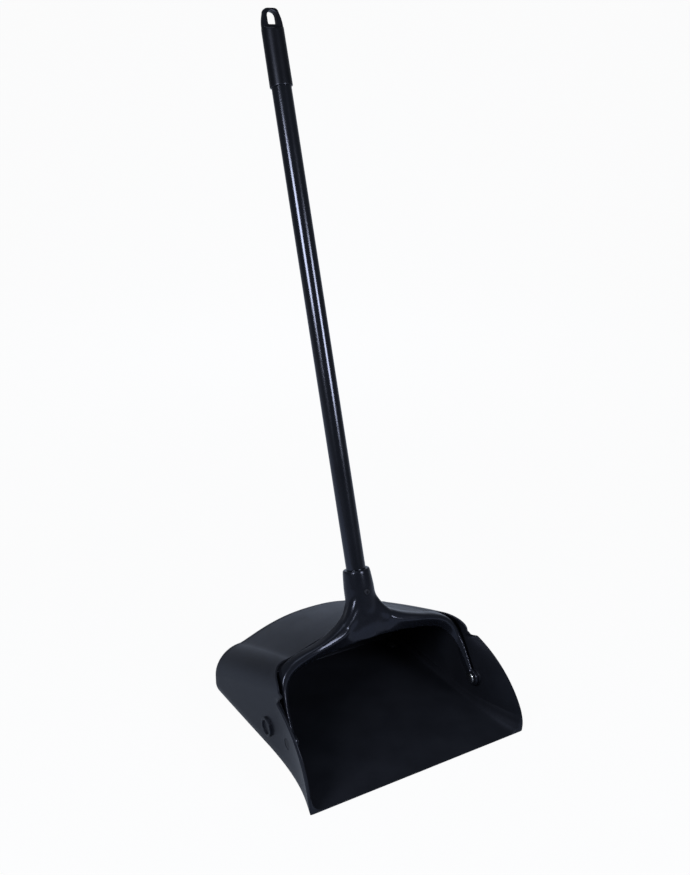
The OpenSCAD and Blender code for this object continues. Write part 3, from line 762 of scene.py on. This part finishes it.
bores.append(round_bar("screw_seat", screw_head_r + screw_seat_gap, screw_seat_r, screw_seat_end,
                       face_screw, screw_sides))
for side in (-1, 1):
    at_eye = across(side, eye_in_x, pivot.y, pivot.z)
    bores.append(round_bar("eye_bore", rivet_r + eye_gap, eye_bore_start, eye_bore_end,
                           at_eye, eye_sides))
    bores.append(round_bar("burr_room", washer_r + burr_gap, -burr_room_l, 0, at_eye, eye_sides))
for bore in bores:
    combined(yoke, bore, "DIFFERENCE")
smoothed(yoke, moulded_crease)
yoke_black = moulded("yoke_black", deep=(0.005, 0.0055, 0.0077), pale=(0.0073, 0.008, 0.011),
                     rough=(0.16, 0.23), specular=0.3, grain_scale=1500, grain_depth=0.000015)
finished(yoke, yoke_black)
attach(yoke, "handle")
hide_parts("yoke")

# Handle tube and plug
# A long thin-walled steel tube in glossy black stoving enamel. A plug in its lower end keeps
# the screw from crushing it.
tube_wall = 0.0009
cap_socket_l = 0.066
tube_crease = 40
tube_profile = [(tube_r, -socket_l), (tube_r, bare_l + cap_socket_l),
                (tube_r - tube_wall, bare_l + cap_socket_l), (tube_r - tube_wall, -socket_l),
                (tube_r, -socket_l)]
tube = settled(turned("tube", tube_profile, sides=128, ring=True), on_handle)
smoothed(tube, tube_crease)
tube_black = moulded("tube_black", deep=(0.0022, 0.0024, 0.0032), pale=(0.0033, 0.0036, 0.0047),
                     rough=(0.15, 0.2), specular=0.62, grain_scale=420, grain_depth=0.00001)
finished(tube, tube_black)
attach(tube, "handle")
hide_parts("handle_tube")
plug_grey = moulded("plug_grey", deep=(0.02, 0.02, 0.021), pale=(0.03, 0.03, 0.031),
                    rough=(0.5, 0.6), specular=0.4, grain_scale=900, grain_depth=0.00003)
finished(frame["nodes"]["tube_plug"], plug_grey)

# Handle screw
# A small pan-head screw in blackened steel with a cross recess. It is driven through the front
# of the neck and the tube into the plug.
screw_h = 0.0024
screw_r = 0.0021
screw_l = 0.014
head_rim = 0.0001
head_round_w = 0.0016
head_round_h = 0.0014
recess_size = (0.0044, 0.0009, 0.0026)
head_top = screw_seat_r + screw_h
head_turn_count = 6
head_turns = [0] + steps(0, pi / 2, head_turn_count)
screw_profile = [(screw_r, screw_seat_r - screw_l), (screw_r, screw_seat_r),
                 (screw_head_r, screw_seat_r + head_rim)]
screw_profile += [(screw_head_r - head_round_w * (1 - cos(a)),
                   head_top - head_round_h * (1 - sin(a))) for a in head_turns]
screw = settled(turned("screw", screw_profile, screw_sides), face_screw)
for turn in (0, pi / 2):
    at_recess = Matrix.Translation((0, 0, head_top)) @ Matrix.Rotation(turn, 4, "Z")
    blade = settled(block((0, 0, 0), recess_size), face_screw @ at_recess)
    combined(screw, blade, "DIFFERENCE")
smoothed(screw, turned_crease)
screw_black = moulded("screw_black", deep=(0.006, 0.006, 0.0075), pale=(0.009, 0.009, 0.011),
                      rough=(0.4, 0.5), specular=0.25, grain_scale=1800, grain_depth=0.00001)
finished(screw, screw_black)
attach(screw, "handle")
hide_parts("handle_screw")

# End cap
# A soft black plastic cap pushed over the top of the tube. Its tapered top is flattened to a
# tab with an arched hole to hang the pan by.
cap_l = 0.100
cap_rim_r = 0.015
cap_top_r = 0.0146
cap_taper_l = 0.024
cap_tip_r = 0.0113
cap_dome_r = 0.006
tab_t = 0.0085
tab_h = 0.024
tab_slope_h = 0.005
hang_w = 0.0135
hang_h = 0.0172
hang_bar = 0.0036
cap_rim_edge = 0.0006
cap_foot = cap_l - cap_taper_l
flat_w = 0.04
flat_d = 0.02
flat_h = 0.04
cut_reach = 0.02
cap_bore_overrun = 0.002
cap_count = 8
cap_profile = [(cap_rim_r - cap_rim_edge, 0), (cap_rim_r, cap_rim_edge), (cap_top_r, cap_foot)]
cap_profile += [(cap_tip_r + (cap_top_r - cap_tip_r) * (1 - t * t),
                 cap_foot + t * (cap_taper_l - cap_dome_r)) for t in steps(0, 1, cap_count)]
cap_profile += [(cap_tip_r - cap_dome_r * (1 - cos(a)), cap_l - cap_dome_r * (1 - sin(a)))
                for a in steps(0, pi / 2, cap_count)]
cap = turned("cap", cap_profile, handle_sides)
tab_foot = cap_l - tab_h
for side in (-1, 1):
    flat = block((0, side * (tab_t + flat_d) / 2, tab_foot + flat_h / 2), (flat_w, flat_d, flat_h))
    for vertex in flat.data.vertices:
        if vertex.co.z < tab_foot + flat_h / 2 and abs(vertex.co.y) > tab_t:
            vertex.co.z -= tab_slope_h * 2
    combined(cap, flat, "DIFFERENCE")
hole_top = cap_l - hang_bar
arch_r = hang_w / 2
slot_h = hang_h - arch_r
at_arch = Matrix.Translation((0, 0, hole_top - arch_r)) @ Matrix.Rotation(pi / 2, 4, "X")
arch = round_bar("arch", arch_r, -cut_reach, cut_reach, at_arch)
slot_block = block((0, 0, hole_top - hang_h + slot_h / 2), (hang_w, 2 * cut_reach, slot_h))
combined(cap, arch, "DIFFERENCE")
combined(cap, slot_block, "DIFFERENCE")
worked(cap, "REMESH", mode="VOXEL", voxel_size=0.00065)
worked(cap, "SMOOTH", factor=0.5, iterations=6)
cap_bore = round_bar("cap_bore", tube_r + fit_gap, -cap_bore_overrun, cap_socket_l,
                     Matrix.Identity(4), handle_sides)
combined(cap, cap_bore, "DIFFERENCE")
settled(cap, on_handle @ Matrix.Translation((0, 0, bare_l)))
smoothed(cap, moulded_crease)
cap.name = "hanging_cap"
cap_black = moulded("cap_black", deep=(0.002, 0.0021, 0.0028), pale=(0.003, 0.0032, 0.0041),
                    rough=(0.26, 0.36), specular=0.34, grain_scale=1300, grain_depth=0.00003)
finished(cap, cap_black)
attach(cap, "handle")
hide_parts("end_cap")

# Studio
# A plain white floor that sweeps up to a backdrop, two softboxes in front, one on each side of
# the camera, a soft top light, a light on the backdrop, and the camera.
view_turn = radians(-31.25)
view_tilt = radians(18.525)
sweep_size = 12
sweep_start = 3.0
sweep_bow = 0.5
sweep_crease = 60
floor_drop = 0.0002
paper_colour = (0.42, 0.49, 0.62, 1)
glow_share = 0.96
glossy_share = 0.18
bpy.ops.object.select_all(action="DESELECT")
bpy.ops.mesh.primitive_grid_add(x_subdivisions=1, y_subdivisions=24, size=sweep_size)
sweep = bpy.context.object
sweep.name = "studio_sweep"
for vertex in sweep.data.vertices:
    rise = max(0.0, vertex.co.y - sweep_start)
    vertex.co.z = rise * rise * sweep_bow - floor_drop
smoothed(sweep, sweep_crease)
settled(sweep, Matrix.Rotation(view_turn, 4, "Z"))


def straight_rays(nodes, links):
    """A Light Path node, and a mask of the rays that come from the camera or through glass."""
    rays = nodes.new("ShaderNodeLightPath")
    seen = nodes.new("ShaderNodeMath")
    seen.operation = "MAXIMUM"
    links.new(rays.outputs["Is Camera Ray"], seen.inputs[0])
    links.new(rays.outputs["Is Transmission Ray"], seen.inputs[1])
    return rays, seen


def mixed(nodes, links, share, base, cover, target):
    """Mixes two shaders by a share and leads them to an output node's surface."""
    mix = nodes.new("ShaderNodeMixShader")
    links.new(share.outputs[0], mix.inputs["Fac"])
    links.new(base.outputs[0], mix.inputs[1])
    links.new(cover.outputs[0], mix.inputs[2])
    links.new(mix.outputs[0], nodes[target].inputs["Surface"])


white = bpy.data.materials.new("studio_white")
white.use_nodes = True
nodes, links = white.node_tree.nodes, white.node_tree.links
paper = nodes["Principled BSDF"]
paper.inputs["Base Color"].default_value = paper_colour
paper.inputs["Roughness"].default_value = 1.0
paper.inputs["Specular IOR Level"].default_value = 0.0
glow = nodes.new("ShaderNodeEmission")
glow.inputs["Strength"].default_value = 1.0
rays, seen = straight_rays(nodes, links)
mirrored_part = nodes.new("ShaderNodeMath")
mirrored_part.operation = "MULTIPLY"
mirrored_part.inputs[1].default_value = glossy_share
links.new(rays.outputs["Is Glossy Ray"], mirrored_part.inputs[0])
amount = nodes.new("ShaderNodeMath")
amount.operation = "MULTIPLY_ADD"
amount.inputs[1].default_value = glow_share
links.new(seen.outputs[0], amount.inputs[0])
links.new(mirrored_part.outputs[0], amount.inputs[2])
mixed(nodes, links, amount, paper, glow, "Material Output")
finished(sweep, white)

world = bpy.data.worlds.new("studio_room")
bpy.context.scene.world = world
world.use_nodes = True
nodes, links = world.node_tree.nodes, world.node_tree.links
room = nodes["Background"]
room.inputs["Color"].default_value = (0.75, 0.86, 1.0, 1)
room.inputs["Strength"].default_value = 0.15
backdrop = nodes.new("ShaderNodeBackground")
backdrop.inputs["Color"].default_value = (1, 1, 1, 1)
backdrop.inputs["Strength"].default_value = 1.0
rays, seen = straight_rays(nodes, links)
mixed(nodes, links, seen, room, backdrop, "World Output")


def softbox(name, place, target, width, height, power, colour):
    """A rectangular lamp that faces its target."""
    data = bpy.data.lights.new(name, "AREA")
    data.shape = "RECTANGLE"
    data.size = width
    data.size_y = height
    data.energy = power
    data.color = colour
    lamp = bpy.data.objects.new(name, data)
    bpy.context.scene.collection.objects.link(lamp)
    lamp.location = place
    lamp.rotation_euler = (Vector(target) - Vector(place)).to_track_quat("-Z", "Y").to_euler()


softbox("left_softbox", place=(-1.36, -0.44, 1.03), target=(0, 0.28, 0.6),
        width=0.55, height=0.46, power=19, colour=(0.9, 0.94, 1))
softbox("right_softbox", place=(0.45, -1.22, 0.99), target=(0, 0.24, 0.5),
        width=0.46, height=0.46, power=15, colour=(0.9, 0.94, 1))
softbox("top_light", place=(-0.6, 0.5, 2.4), target=(0, 0.15, 0.2),
        width=1.4, height=1.4, power=10, colour=(0.8, 0.89, 1))
softbox("backdrop_light", place=(0.75, 1.75, 1.3), target=(1.3, 2.8, 0),
        width=1.0, height=0.4, power=22, colour=(0.86, 0.9, 1))

camera = bpy.data.cameras.new("camera")
camera.lens = 43.656
camera.shift_x = -0.0137
camera.shift_y = -0.0297
viewer = bpy.data.objects.new("camera", camera)
bpy.context.scene.collection.objects.link(viewer)
viewer.location = (-0.65584, -0.92061, 0.85684)
viewer.rotation_euler = (pi / 2 - view_tilt, 0, view_turn)
bpy.context.scene.camera = viewer
bpy.context.scene.view_settings.view_transform = "Standard"
